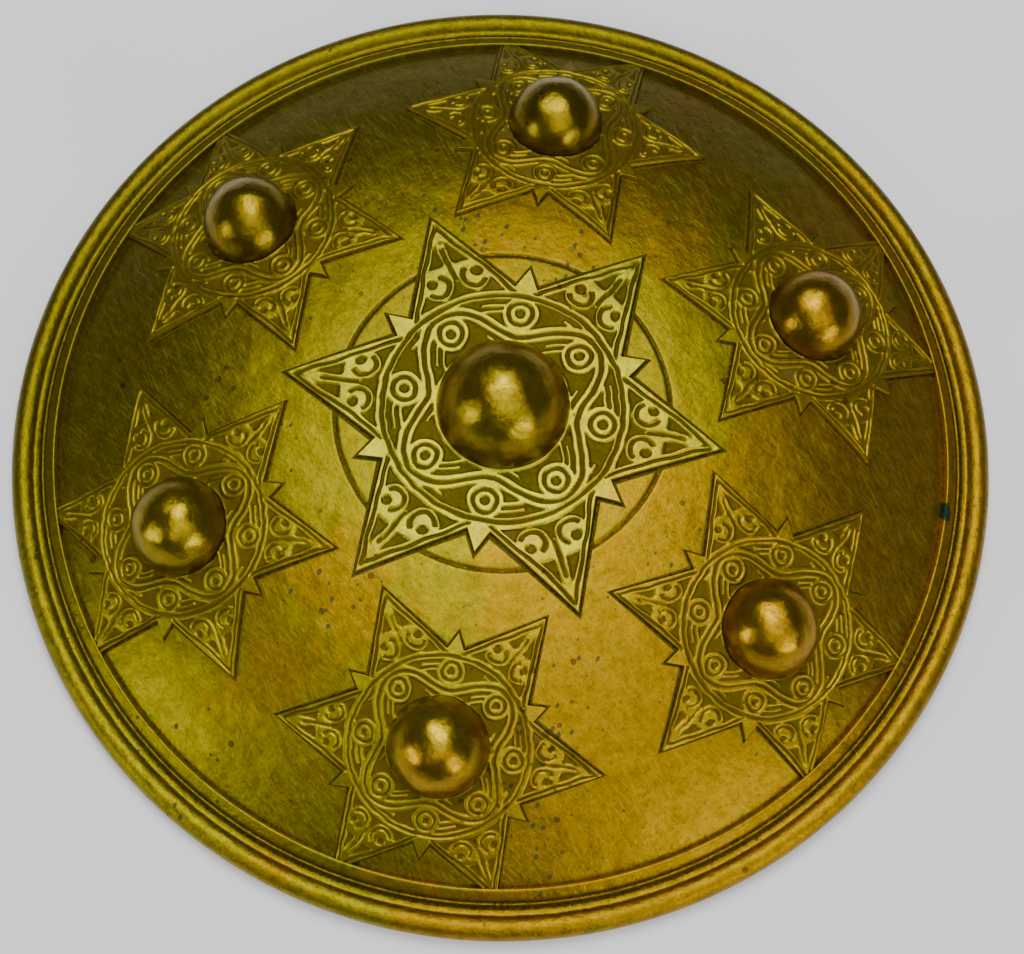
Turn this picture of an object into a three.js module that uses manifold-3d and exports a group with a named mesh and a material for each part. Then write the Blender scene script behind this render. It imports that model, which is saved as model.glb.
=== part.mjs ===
// A round convex buckler of cast brass, lying on its rim with the dome up.
// One casting: a thin dome inside a moulded rim, a large star at the crown and six smaller ones
// around it, each star a low plate with a ring of eyes round a hollow boss, and four eyed lugs
// on the back for a hand strap. Millimetres, +Z up, the origin on the floor under the crown.

import * as THREE from 'three';
import { mergeVertices } from 'three/addons/utils/BufferGeometryUtils.js';
import Module from 'manifold-3d';

// Dome: its height falls away from the crown with a fixed power of the radius. Its facets bend at
// shares of the foot radius.
const FOOT_RADIUS = 126;
const FOOT_HEIGHT = 8;
const CROWN_RISE = 27.6;
const DOME_POWER = 2.9;
const WALL = 2.6;
const DOME_SIDES = 44;
const OUTER_BENDS = [0, 0.28, 0.5, 0.66, 0.8, 0.91, 1];
const INNER_BENDS = [1, 0.92, 0.8, 0.64, 0.42];

// Rim: an outer bead, then a fine ridge and a flat band, each stepping up towards the dome.
const RIM_RADIUS = 140;
const BEAD_RADIUS = 3.5;
const BAND_WIDTH = 2.6;
const BAND_STEP = 1.5;
const BAND_RUN = 1.05;
const BAND_FALL = 1.8;
const RIDGE_START = 0.43;
const RIDGE_WIDTH = 1.3;
const RIDGE_HEIGHT = 0.8;
const GROOVE_DROP = 1.4;
const FOOTING_WIDTH = 2.4;
const FOOTING_TUCK = 1.75;
const BEAD_STEP_ANGLE = 45;

// Stars: tip, ring and boss radii, the raised line, and the height of the boss.
const CENTRE_STAR = { tip: 60.5, ring: 34.1, boss: 18.4, rise: 19.4, line: 1.6 };
const OUTER_STAR = { tip: 44, ring: 25.6, boss: 13.9, rise: 14.6, line: 1.3 };
const OUTER_STAR_DISTANCE = 93;
const OUTER_STAR_BEARINGS = [22, 83, 143, 202, 262, 323];
const STAR_TURN = 52;
const PLATE_HEIGHT = 1.3;
const PLATE_ROOT = 0.9;
const PANEL_DEPTH = 0.7;
const RING_BEVEL = 1.2;
const PLATE_UNDERSIDE = 0.5;
const BOSS_FACETS = { sides: 16, steps: 4 };
const HOLLOW_FACETS = { sides: 10, steps: 3 };

// Carving, as shares of the star's own tip radius.
const NOTCH = 0.59;
const NOTCH_BEARING = 25;
const TOOTH = 0.69;
const PANEL_APEX = 0.93;
const PANEL_BASE = 0.65;
const PANEL_BEARING = 14;
const EYE_RADIUS = 0.07;
const EYE_NEAR = 0.42;
const EYE_FAR = 0.45;
const EYE_COUNT = 8;
const EYE_SIDES = 6;
const EYE_BEARING = 37;
const POINT_COUNT = 6;

// Back: lugs with an eye for a strap.
const LUG_SPREAD = 34;
const LUG_SPACING = 44;
const LUG_WIDTH = 15;
const LUG_THICKNESS = 4;
const LUG_DROP = 14;
const LUG_EYE_RADIUS = 4;
const LUG_SEGMENTS = 5;

const BRASS = { color: 0xa88a24, roughness: 0.34, metalness: 1 };

const wasm = await Module();
wasm.setup();

const radians = THREE.MathUtils.degToRad;
const CROWN_HEIGHT = FOOT_HEIGHT + CROWN_RISE;

// Height of the dome's outer surface at a radius.
function domeHeight(radius) {
  return CROWN_HEIGHT - CROWN_RISE * (radius / FOOT_RADIUS) ** DOME_POWER;
}

// Rise over run of that surface at a radius.
function domeSlope(radius) {
  return (-CROWN_RISE * DOME_POWER / FOOT_RADIUS) * (radius / FOOT_RADIUS) ** (DOME_POWER - 1);
}

// Unit normal of the dome over a point of the plan.
function domeNormal(x, y) {
  const radius = Math.hypot(x, y);
  if (radius === 0) return new THREE.Vector3(0, 0, 1);
  const slope = domeSlope(radius);
  return new THREE.Vector3(-slope * x / radius, -slope * y / radius, 1).normalize();
}

// A closed solid from a geometry, with its faces turned outwards.
function solid(geometry) {
  geometry.deleteAttribute('normal');
  geometry.deleteAttribute('uv');
  const merged = mergeVertices(geometry, 1e-4);
  const points = Float32Array.from(merged.attributes.position.array);
  const corners = Uint32Array.from(merged.index.array);
  const kept = [];
  for (let i = 0; i < corners.length; i += 3) {
    const [a, b, c] = corners.subarray(i, i + 3);
    if (a !== b && b !== c && c !== a) kept.push(a, b, c);
  }
  const triangles = signedVolume(points, kept) < 0 ? kept.reverse() : kept;
  return new wasm.Manifold(new wasm.Mesh({
    numProp: 3,
    vertProperties: points,
    triVerts: Uint32Array.from(triangles),
  }));
}

// Volume of a triangle list, negative where its faces point inwards.
function signedVolume(points, corners) {
  const corner = (i) => new THREE.Vector3().fromArray(points, 3 * corners[i]);
  let volume = 0;
  for (let i = 0; i < corners.length; i += 3) {
    volume += corner(i).dot(corner(i + 1).cross(corner(i + 2))) / 6;
  }
  return volume;
}

// A body of revolution about Z from a profile of [radius, height] pairs.
function turned(profile, sides) {
  const points = profile.map(([radius, height]) => new THREE.Vector2(radius, height));
  return new THREE.LatheGeometry(points, sides).rotateX(Math.PI / 2);
}

// A closed solid of equal rings of points between a first and a last centre point.
function ringedSolid(first, rings, last) {
  const sides = rings[0].length;
  const points = [first, ...rings.flat(), last];
  const at = (ring, side) => 1 + ring * sides + (side % sides);
  const index = [];
  for (let side = 0; side < sides; side += 1) {
    index.push(0, at(0, side), at(0, side + 1));
    for (let ring = 1; ring < rings.length; ring += 1) {
      index.push(at(ring - 1, side), at(ring, side), at(ring, side + 1));
      index.push(at(ring - 1, side), at(ring, side + 1), at(ring - 1, side + 1));
    }
    index.push(points.length - 1, at(rings.length - 1, side + 1), at(rings.length - 1, side));
  }
  const geometry = new THREE.BufferGeometry();
  const numbers = points.flatMap((point) => point.toArray());
  geometry.setAttribute('position', new THREE.Float32BufferAttribute(numbers, 3));
  geometry.setIndex(index);
  return solid(geometry);
}

// Local frame on the dome: an origin, two tangents and the normal, the first tangent outwards.
function seatAt(distance, bearing) {
  const angle = radians(bearing);
  const x = distance * Math.cos(angle);
  const y = distance * Math.sin(angle);
  const normal = domeNormal(x, y);
  const across = new THREE.Vector3(-Math.sin(angle), Math.cos(angle), 0);
  const outward = new THREE.Vector3().crossVectors(across, normal);
  const origin = new THREE.Vector3(x, y, domeHeight(distance));
  return { origin, outward, across, normal, bearing };
}

// A point of a seat's tangent plane dropped on to the dome, then lifted along the dome's normal.
function onDome(seat, radius, bearing, lift) {
  const angle = radians(bearing - seat.bearing);
  const point = seat.origin.clone()
    .addScaledVector(seat.outward, radius * Math.cos(angle))
    .addScaledVector(seat.across, radius * Math.sin(angle));
  for (let step = 0; step < 8; step += 1) {
    const gap = point.z - domeHeight(Math.hypot(point.x, point.y));
    const local = domeNormal(point.x, point.y);
    point.addScaledVector(seat.normal, -gap * local.z / seat.normal.dot(local));
  }
  return point.addScaledVector(domeNormal(point.x, point.y), lift);
}

// Profile of the casting without its stars: over the dome and rim, then back under them.
function castingProfile() {
  const outer = OUTER_BENDS.map((share) => {
    return [FOOT_RADIUS * share, domeHeight(FOOT_RADIUS * share)];
  });
  return [...outer, ...rimProfile(), ...innerProfile()];
}

// Rim from the foot of the dome out over the bead and in along the flat footing.
function rimProfile() {
  const beadCentre = RIM_RADIUS - BEAD_RADIUS;
  const bandInner = FOOT_RADIUS + BAND_RUN;
  const bandOuter = bandInner + BAND_WIDTH;
  const bandTop = FOOT_HEIGHT + BAND_STEP;
  const bandEdge = bandTop - BAND_FALL;
  const grooveFloor = bandEdge - GROOVE_DROP;
  const ridgeInner = bandOuter + RIDGE_START;
  const points = [
    [bandInner, bandTop],
    [bandOuter, bandEdge],
    [ridgeInner, grooveFloor],
    [ridgeInner + RIDGE_WIDTH / 2, grooveFloor + RIDGE_HEIGHT],
    [ridgeInner + RIDGE_WIDTH, grooveFloor - RIDGE_HEIGHT],
  ];
  for (let angle = 135; angle >= -90; angle -= BEAD_STEP_ANGLE) {
    const turn = radians(angle);
    points.push([beadCentre + BEAD_RADIUS * Math.cos(turn), BEAD_RADIUS * (1 + Math.sin(turn))]);
  }
  points.push([beadCentre - FOOTING_WIDTH, 0]);
  points.push([beadCentre - BEAD_RADIUS, FOOTING_TUCK]);
  return points;
}

// Inside of the dome, one wall under its outside, from the rim in to the axis.
function innerProfile() {
  const points = [];
  for (const share of INNER_BENDS) {
    const radius = FOOT_RADIUS * share;
    const normal = domeNormal(radius, 0);
    points.push([radius - WALL * normal.x, domeHeight(radius) - WALL * normal.z]);
  }
  points.push([0, CROWN_HEIGHT - WALL]);
  return points;
}

// Outline of a star: six long points with a small tooth between each two.
function starOutline(star) {
  const outline = [];
  const pitch = 360 / POINT_COUNT;
  for (let point = 0; point < POINT_COUNT; point += 1) {
    const bearing = STAR_TURN + pitch * point;
    outline.push({ radius: star.tip, bearing });
    outline.push({ radius: star.tip * NOTCH, bearing: bearing + NOTCH_BEARING });
    outline.push({ radius: star.tip * TOOTH, bearing: bearing + pitch / 2 });
    outline.push({ radius: star.tip * NOTCH, bearing: bearing + pitch - NOTCH_BEARING });
  }
  return outline;
}

// Star plate: a sunk field round the boss, a raised ring, then the points, laid on the dome.
function starPlate(seat, star) {
  const outline = starOutline(star);
  const field = PLATE_HEIGHT - PANEL_DEPTH;
  const circle = (radius, lift) => outline.map((_, side) => {
    return onDome(seat, radius, STAR_TURN + (360 / outline.length) * side, lift);
  });
  const scaled = (share, lift) => outline.map((p) => onDome(seat, p.radius * share, p.bearing, lift));
  const rings = [
    circle(star.ring - star.line * RING_BEVEL, field),
    circle(star.ring - star.line, PLATE_HEIGHT),
    scaled(1, PLATE_HEIGHT),
    scaled(1, -PLATE_ROOT),
    scaled(PLATE_UNDERSIDE, -PLATE_ROOT),
  ];
  return ringedSolid(onDome(seat, 0, 0, field), rings, onDome(seat, 0, 0, -PLATE_ROOT));
}

// Sunk triangular panel of one point, inside a raised border.
function pointPanel(seat, star, bearing) {
  const corners = [
    [star.tip * PANEL_APEX, bearing],
    [star.tip * PANEL_BASE, bearing + PANEL_BEARING],
    [star.tip * PANEL_BASE, bearing - PANEL_BEARING],
  ];
  const floor = PLATE_HEIGHT - PANEL_DEPTH;
  const above = PLATE_HEIGHT + PANEL_DEPTH;
  const middle = star.tip * (PANEL_APEX + PANEL_BASE) / 2;
  const level = (lift) => corners.map(([radius, angle]) => onDome(seat, radius, angle, lift));
  return ringedSolid(onDome(seat, middle, bearing, above), [level(above), level(floor)],
    onDome(seat, middle, bearing, floor));
}

// Raised round eye with a dished middle.
function eye(seat, star, radius, bearing) {
  const size = star.tip * EYE_RADIUS;
  const high = [];
  const low = [];
  for (let side = 0; side < EYE_SIDES; side += 1) {
    const angle = (2 * Math.PI * side) / EYE_SIDES;
    const x = radius + size * Math.cos(angle);
    const y = size * Math.sin(angle);
    const away = Math.hypot(x, y);
    const around = bearing + THREE.MathUtils.radToDeg(Math.atan2(y, x));
    high.push(onDome(seat, away, around, PLATE_HEIGHT));
    low.push(onDome(seat, away, around, 0));
  }
  return ringedSolid(onDome(seat, radius, bearing, PLATE_HEIGHT - PANEL_DEPTH / 2), [high, low],
    onDome(seat, radius, bearing, 0));
}

// A half egg standing on a seat, sunk by a root: a boss, or the hollow inside one.
function halfEgg(seat, radius, rise, root, { sides, steps }) {
  const profile = [[0, -root], [radius, -root]];
  for (let step = 0; step < steps; step += 1) {
    const angle = (Math.PI / 2) * (step / steps);
    profile.push([radius * Math.cos(angle), rise * Math.sin(angle)]);
  }
  profile.push([0, rise]);
  const geometry = turned(profile, sides);
  const matrix = new THREE.Matrix4().makeBasis(seat.outward, seat.across, seat.normal);
  return solid(geometry.applyMatrix4(matrix.setPosition(seat.origin)));
}

// Lug on the back: a short upright tab whose eye runs along X.
function lug(x, y) {
  const ceiling = domeHeight(Math.hypot(x, y)) - WALL;
  const half = LUG_WIDTH / 2;
  const eyeMiddle = half - LUG_DROP;
  const outline = new THREE.Shape();
  outline.moveTo(-half, WALL / 2);
  outline.lineTo(-half, eyeMiddle);
  outline.absarc(0, eyeMiddle, half, Math.PI, 2 * Math.PI, false);
  outline.lineTo(half, WALL / 2);
  outline.closePath();
  const eyeHole = new THREE.Path();
  eyeHole.moveTo(LUG_EYE_RADIUS, eyeMiddle);
  eyeHole.absarc(0, eyeMiddle, LUG_EYE_RADIUS, 0, 2 * Math.PI, true);
  outline.holes.push(eyeHole);
  const geometry = new THREE.ExtrudeGeometry(outline, {
    depth: LUG_THICKNESS, bevelEnabled: false, curveSegments: LUG_SEGMENTS,
  });
  geometry.translate(0, 0, -LUG_THICKNESS / 2).rotateX(Math.PI / 2).rotateZ(Math.PI / 2);
  geometry.translate(x, y, ceiling);
  return solid(geometry);
}

// All stars of the shield with their seats.
function starSeats() {
  const outer = OUTER_STAR_BEARINGS.map((bearing) => {
    return { seat: seatAt(OUTER_STAR_DISTANCE, bearing), star: OUTER_STAR };
  });
  return [{ seat: seatAt(0, 0), star: CENTRE_STAR }, ...outer];
}

// The whole casting.
function casting() {
  let body = solid(turned(castingProfile(), DOME_SIDES));
  for (const { seat, star } of starSeats()) {
    let plate = starPlate(seat, star);
    for (let point = 0; point < POINT_COUNT; point += 1) {
      plate = plate.subtract(pointPanel(seat, star, STAR_TURN + (360 / POINT_COUNT) * point));
    }
    for (let count = 0; count < EYE_COUNT; count += 1) {
      const away = star.tip * (count % 2 ? EYE_FAR : EYE_NEAR);
      plate = plate.add(eye(seat, star, away, EYE_BEARING + (360 / EYE_COUNT) * count));
    }
    body = body.add(plate);
    body = body.add(halfEgg(seat, star.boss, star.rise, PLATE_ROOT, BOSS_FACETS));
  }
  for (const { seat, star } of starSeats()) {
    const hollow = [star.boss - WALL, star.rise - WALL, 3 * WALL];
    body = body.subtract(halfEgg(seat, ...hollow, HOLLOW_FACETS));
  }
  for (const x of [-LUG_SPREAD, LUG_SPREAD]) {
    for (const y of [-LUG_SPACING / 2, LUG_SPACING / 2]) {
      body = body.add(lug(x, y));
    }
  }
  return body;
}

const result = casting().getMesh();
const geometry = new THREE.BufferGeometry();
geometry.setAttribute('position', new THREE.BufferAttribute(result.vertProperties, 3));
geometry.setIndex(new THREE.BufferAttribute(result.triVerts, 1));
geometry.computeVertexNormals();
const shield = new THREE.Mesh(geometry, new THREE.MeshStandardMaterial(BRASS));
shield.name = 'shield_casting';

const buckler = new THREE.Group();
buckler.add(shield);

export default buckler;
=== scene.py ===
# %% [markdown]
# # A cast brass buckler
# The shield is one brass casting: a thin dome in a moulded rim, seven stars with hollow bosses,
# and four strap lugs behind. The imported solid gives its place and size. Here it gets its fine
# surface, so every formula below repeats the sizes of the solid and adds the relief on top.

# %% Load the frame
import math
import bpy
import numpy as np
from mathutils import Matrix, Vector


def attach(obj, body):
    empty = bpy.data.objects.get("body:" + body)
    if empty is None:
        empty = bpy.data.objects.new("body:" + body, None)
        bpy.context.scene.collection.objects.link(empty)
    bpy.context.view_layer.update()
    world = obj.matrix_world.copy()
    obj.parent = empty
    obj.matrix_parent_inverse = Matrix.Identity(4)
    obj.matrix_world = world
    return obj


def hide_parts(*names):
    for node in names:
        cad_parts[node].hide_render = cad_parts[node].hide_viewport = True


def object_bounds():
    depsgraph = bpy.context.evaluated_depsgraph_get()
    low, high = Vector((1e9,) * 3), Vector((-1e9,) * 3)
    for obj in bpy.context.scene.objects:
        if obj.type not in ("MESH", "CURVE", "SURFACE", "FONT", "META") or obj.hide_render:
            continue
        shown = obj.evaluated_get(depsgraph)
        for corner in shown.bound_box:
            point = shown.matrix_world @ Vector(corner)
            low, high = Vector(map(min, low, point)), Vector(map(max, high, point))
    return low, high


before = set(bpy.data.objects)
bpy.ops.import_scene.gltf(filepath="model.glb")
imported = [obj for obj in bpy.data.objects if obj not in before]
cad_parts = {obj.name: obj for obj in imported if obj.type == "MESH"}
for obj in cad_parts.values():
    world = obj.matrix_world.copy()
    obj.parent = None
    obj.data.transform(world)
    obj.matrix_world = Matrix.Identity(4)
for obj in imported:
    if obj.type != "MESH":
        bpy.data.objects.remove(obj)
CAD_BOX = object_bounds()
MM = 0.001
RIM_RADIUS = (CAD_BOX[1][0] - CAD_BOX[0][0]) / 2 / MM
print("rim radius", round(RIM_RADIUS, 2), "mm")

# %% [markdown]
# ## The view
# The camera looks down on the shield from the front. Its tilt, its slight roll, its distance and
# the place where it aims come from the photograph's ellipse of the rim and from the star tips.
# Building its three axes by hand keeps the roll exact, where a tracking constraint would lose it.

# %% Camera
FRAME_WIDTH_PX = 1024
FOCAL_PX = 2122.5
SENSOR_MM = 36.0
TILT_DEG = 18.26
ROLL_DEG = 2.58
VIEW_DISTANCE = 4.3568 * RIM_RADIUS * MM
AIM_RIGHT = 0.0238 * RIM_RADIUS * MM
AIM_UP = -0.0635 * RIM_RADIUS * MM
AIM_HEIGHT = 3.5 * MM


def add_camera():
    """Camera axes: back leans from +Z towards -Y by the tilt, right is +X, both rolled."""
    tilt, roll = math.radians(TILT_DEG), math.radians(ROLL_DEG)
    right = np.array([1.0, 0.0, 0.0])
    up = np.array([0.0, math.cos(tilt), math.sin(tilt)])
    back = np.array([0.0, -math.sin(tilt), math.cos(tilt)])
    place = back * VIEW_DISTANCE + right * AIM_RIGHT + up * AIM_UP + np.array([0, 0, AIM_HEIGHT])
    rolled_right = math.cos(roll) * right + math.sin(roll) * up
    rolled_up = math.cos(roll) * up - math.sin(roll) * right
    matrix = np.eye(4)
    matrix[:3] = np.stack([rolled_right, rolled_up, back, place], axis=-1)
    data = bpy.data.cameras.new("view")
    data.sensor_fit = "HORIZONTAL"
    data.sensor_width = SENSOR_MM
    data.lens = FOCAL_PX / FRAME_WIDTH_PX * SENSOR_MM
    camera = bpy.data.objects.new("view", data)
    camera.matrix_world = matrix.T.tolist()
    bpy.context.scene.collection.objects.link(camera)
    bpy.context.scene.camera = camera
    return camera


camera = add_camera()
print("camera lens", round(camera.data.lens, 2), "mm")

# %% [markdown]
# ## Room and light
# A pale floor and four soft square lamps: one overhead and a little behind, which puts the gleam on
# top of every boss, two low ones at the front left and front right for the two lower gleams, and a
# wide one high in front that lights the near half. The room behind stays dim, so that the far side
# of the dome falls to dark olive, and the brass darkens that side further with painted shade. Each
# lamp is given by its place, size and energy.

# %% Floor, lamps and world
FLOOR_HALF = 3.0
FLOOR_SHADE = (0.88, 0.88, 0.90, 1)
FLOOR_ROUGHNESS = 0.7
ROOM_SHADE = (0.19, 0.20, 0.215, 1)
LAMPS = {
    "overhead": ((-0.05, 0.43, 1.15), 0.72, 10.5),
    "front_fill": ((0.2, -0.45, 1.5), 1.3, 11.0),
    "left_low": ((-1.15, -0.6, 0.56), 0.4, 4.2),
    "right_low": ((0.85, -1.0, 0.56), 0.6, 6.5),
}


def add_floor():
    """A flat square on which the rim rests."""
    mesh = bpy.data.meshes.new("floor")
    half = FLOOR_HALF
    corners = [(-half, -half, 0), (half, -half, 0), (half, half, 0), (-half, half, 0)]
    mesh.from_pydata(corners, [], [(0, 1, 2, 3)])
    floor = bpy.data.objects.new("floor", mesh)
    bpy.context.scene.collection.objects.link(floor)
    paint = bpy.data.materials.new("pale_floor")
    paint.use_nodes = True
    shader = paint.node_tree.nodes["Principled BSDF"]
    shader.inputs["Base Color"].default_value = FLOOR_SHADE
    shader.inputs["Roughness"].default_value = FLOOR_ROUGHNESS
    mesh.materials.append(paint)


def add_lamp(name, place, size, energy):
    """A square area lamp turned to face the shield's middle."""
    data = bpy.data.lights.new(name, "AREA")
    data.shape = "SQUARE"
    data.size = size
    data.energy = energy
    lamp = bpy.data.objects.new(name, data)
    back = np.array(place, float)
    back /= np.linalg.norm(back)
    side = np.cross([0.0, 0.0, 1.0], back)
    side /= np.linalg.norm(side)
    matrix = np.eye(4)
    matrix[:3] = np.stack([side, np.cross(back, side), back, place], axis=-1)
    lamp.matrix_world = matrix.T.tolist()
    bpy.context.scene.collection.objects.link(lamp)


add_floor()
for name, (place, size, energy) in LAMPS.items():
    add_lamp(name, place, size, energy)
world = bpy.data.worlds.new("dim_room")
world.use_nodes = True
world.node_tree.nodes["Background"].inputs["Color"].default_value = ROOM_SHADE
bpy.context.scene.world = world
print("lamps", len(LAMPS))

# %% [markdown]
# ## The dome
# A spun dome could be a sphere cap, but this one is flat at the crown and steep at its foot. A
# single power of the radius gives that curve, and its slope gives the direction that everything
# on the dome stands in.

# %% Dome curve
FOOT_RADIUS = 126.0
FOOT_HEIGHT = 8.0
CROWN_RISE = 27.6
DOME_POWER = 2.9
WALL = 2.6
CROWN_HEIGHT = FOOT_HEIGHT + CROWN_RISE
DROP_ROUNDS = 8


def dome_height(radius):
    """Crown height less the rise times the radius share to the dome's power."""
    return CROWN_HEIGHT - CROWN_RISE * (radius / FOOT_RADIUS) ** DOME_POWER


def dome_normal(x, y):
    """Unit normals: minus the slope along the radius, and one upwards."""
    radius = np.hypot(x, y) + 1e-9
    slope = -CROWN_RISE * DOME_POWER / FOOT_RADIUS * (radius / FOOT_RADIUS) ** (DOME_POWER - 1)
    normal = np.stack([-slope * x / radius, -slope * y / radius, np.ones_like(radius)], axis=-1)
    return normal / np.linalg.norm(normal, axis=-1, keepdims=True)


def seat_at(distance, bearing):
    """A place on the dome with its outward and sideways tangents and its normal."""
    angle = math.radians(bearing)
    x, y = distance * math.cos(angle), distance * math.sin(angle)
    normal = dome_normal(np.array(x), np.array(y))
    across = np.array([-math.sin(angle), math.cos(angle), 0.0])
    origin = np.array([x, y, dome_height(distance)])
    return {"origin": origin, "outward": np.cross(across, normal), "across": across,
            "normal": normal, "bearing": bearing}


def on_dome(seat, radius, bearing, lift):
    """Points of the seat's tangent plane, dropped to the dome along its normal and lifted."""
    angle = np.radians(bearing - seat["bearing"])
    point = (seat["origin"] + (radius * np.cos(angle))[..., None] * seat["outward"]
             + (radius * np.sin(angle))[..., None] * seat["across"])
    for _ in range(DROP_ROUNDS):
        gap = point[..., 2] - dome_height(np.hypot(point[..., 0], point[..., 1]))
        local = dome_normal(point[..., 0], point[..., 1])
        point = point - (gap * local[..., 2] / (local @ seat["normal"]))[..., None] * seat["normal"]
    return point + np.asarray(lift)[..., None] * dome_normal(point[..., 0], point[..., 1])


# %% [markdown]
# ## From arrays to meshes
# All surfaces are grids of points. One helper joins a grid into quads, closed round its columns.
# Another makes the mesh and stores the tone of each point: 1 is clean rubbed metal, 0 a dark
# recess. The lowest tones also stand for painted shade in grooves, at plate edges and at boss feet.

# %% Grid and mesh helpers
def grid_faces(rows, columns, wrap_rows=False):
    """Quads between neighbours, the last column joined to the first, and the last row if asked."""
    row = np.arange(rows if wrap_rows else rows - 1)
    r, c = np.meshgrid(row, np.arange(columns), indexing="ij")
    below, beside = (r + 1) % rows, (c + 1) % columns
    quads = np.stack([r * columns + c, below * columns + c,
                      below * columns + beside, r * columns + beside], -1)
    return quads.reshape(-1, 4)


def make_piece(name, points, faces, tone, material, sharp_deg=None):
    """A mesh from points in millimetres and faces, with its tone stored on the points."""
    mesh = bpy.data.meshes.new(name)
    mesh.from_pydata((points.reshape(-1, 3) * MM).tolist(), [], faces)
    mesh.shade_smooth()
    if sharp_deg is not None:
        mesh.set_sharp_from_angle(angle=math.radians(sharp_deg))
    store_tone(mesh, tone.reshape(-1))
    mesh.materials.append(material)
    piece = bpy.data.objects.new(name, mesh)
    bpy.context.scene.collection.objects.link(piece)
    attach(piece, "root")
    return piece


def store_tone(mesh, tone):
    """Write one number for each point as the attribute that the brass reads."""
    layer = mesh.attributes.new("tone", "FLOAT", "POINT")
    layer.data.foreach_set("value", np.clip(tone, 0, 1).astype(np.float32))


def triangles(piece):
    """Triangle count of a piece: the corners of each face less two."""
    return sum(len(polygon.vertices) - 2 for polygon in piece.data.polygons)


# %% [markdown]
# ## The brass
# Old polished brass is never one colour. It is olive gold, warmer in broad patches, brown in every
# recess, scratched by rubbing and pitted where the casting was porous. One node group works these
# out from the place on the shield and from the tone, and each brass sets its own shades. The group
# also paints shade: darker on the far side of the dome, and near black where the tone is lowest.

# %% Node group for aged brass
def group_sockets(tree):
    """Declare what the group takes in and gives out."""
    for label, kind in (("Tone", "NodeSocketFloat"), ("Clean", "NodeSocketColor"),
                        ("Warm", "NodeSocketColor"), ("Recess", "NodeSocketColor"),
                        ("Smooth", "NodeSocketFloat"), ("Scratch", "NodeSocketFloat")):
        tree.interface.new_socket(label, in_out="INPUT", socket_type=kind)
    for label, kind in (("Colour", "NodeSocketColor"), ("Roughness", "NodeSocketFloat"),
                        ("Normal", "NodeSocketVector")):
        tree.interface.new_socket(label, in_out="OUTPUT", socket_type=kind)


class Wiring:
    """Shorthand for placing nodes in a tree and linking their sockets."""

    def __init__(self, tree):
        self.tree = tree

    def node(self, kind, **values):
        """A new node with the given settings."""
        made = self.tree.nodes.new(kind)
        for key, value in values.items():
            setattr(made, key, value)
        return made

    def link(self, source, target):
        """Join an output to an input."""
        self.tree.links.new(source, target)

    def noise(self, vector, label):
        """The noise that the table lists under this label."""
        made = self.node("ShaderNodeTexNoise")
        for socket, value in zip(("Scale", "Detail", "Roughness"), NOISES[label]):
            made.inputs[socket].default_value = value
        self.link(vector, made.inputs["Vector"])
        return made.outputs["Fac"]

    def cells(self, vector, scale):
        """Distance to the nearest point of a cell pattern."""
        made = self.node("ShaderNodeTexVoronoi")
        made.inputs["Scale"].default_value = scale
        self.link(vector, made.inputs["Vector"])
        return made.outputs["Distance"]

    def remap(self, value, label):
        """A value pressed smoothly into the range that the table lists under this label."""
        made = self.node("ShaderNodeMapRange", interpolation_type="SMOOTHSTEP")
        for socket, limit in zip(("From Min", "From Max", "To Min", "To Max"), RANGES[label]):
            made.inputs[socket].default_value = limit
        self.link(value, made.inputs["Value"])
        return made.outputs["Result"]

    def math(self, kind, first, second):
        """One sum, product or comparison of sockets or numbers."""
        made = self.node("ShaderNodeMath", operation=kind)
        for socket, value in zip(made.inputs, (first, second)):
            if isinstance(value, (int, float)):
                socket.default_value = value
            else:
                self.link(value, socket)
        return made.outputs[0]

    def mix(self, share, first, second):
        """The first colour less the share, plus the share of the second."""
        made = self.node("ShaderNodeMix", data_type="RGBA")
        self.link(share, made.inputs["Factor"])
        for socket, value in ((made.inputs[6], first), (made.inputs[7], second)):
            if isinstance(value, tuple):
                socket.default_value = (*value, 1)
            else:
                self.link(value, socket)
        return made.outputs[2]

    def vector(self, kind, first, second=(0.0, 0.0, 0.0)):
        """A vector node of a socket and a constant; three of its kinds give a number."""
        made = self.node("ShaderNodeVectorMath", operation=kind)
        self.link(first, made.inputs[0])
        made.inputs[1].default_value = second
        return made.outputs["Value" if kind in ("DOT_PRODUCT", "DISTANCE", "LENGTH") else "Vector"]

    def mapped(self, vector, scale, turn):
        """A place turned about Z by degrees and then stretched."""
        turned = self.node("ShaderNodeVectorRotate", rotation_type="Z_AXIS")
        turned.inputs["Angle"].default_value = math.radians(turn)
        self.link(vector, turned.inputs["Vector"])
        return self.vector("MULTIPLY", turned.outputs[0], scale)


# %% [markdown]
# ### What ages the brass, and where shade is painted
# Every effect is a noise pressed into a range. The tables name them: a noise by its scale, detail
# and roughness, a range by the two values it runs between and the two that these become.

# %% Shades, noises and ranges
VERDIGRIS = (0.018, 0.05, 0.03)
# Near-black painted shade with grime, for the lowest tone: grooves, plate edges and boss feet.
SHADE_AND_GRIME = (0.022, 0.015, 0.002)
RESIDUE = (0.20, 0.17, 0.07)
PIT = (0.05, 0.03, 0.008)
SCRATCH_SHINE = (0.62, 0.55, 0.07)
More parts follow.
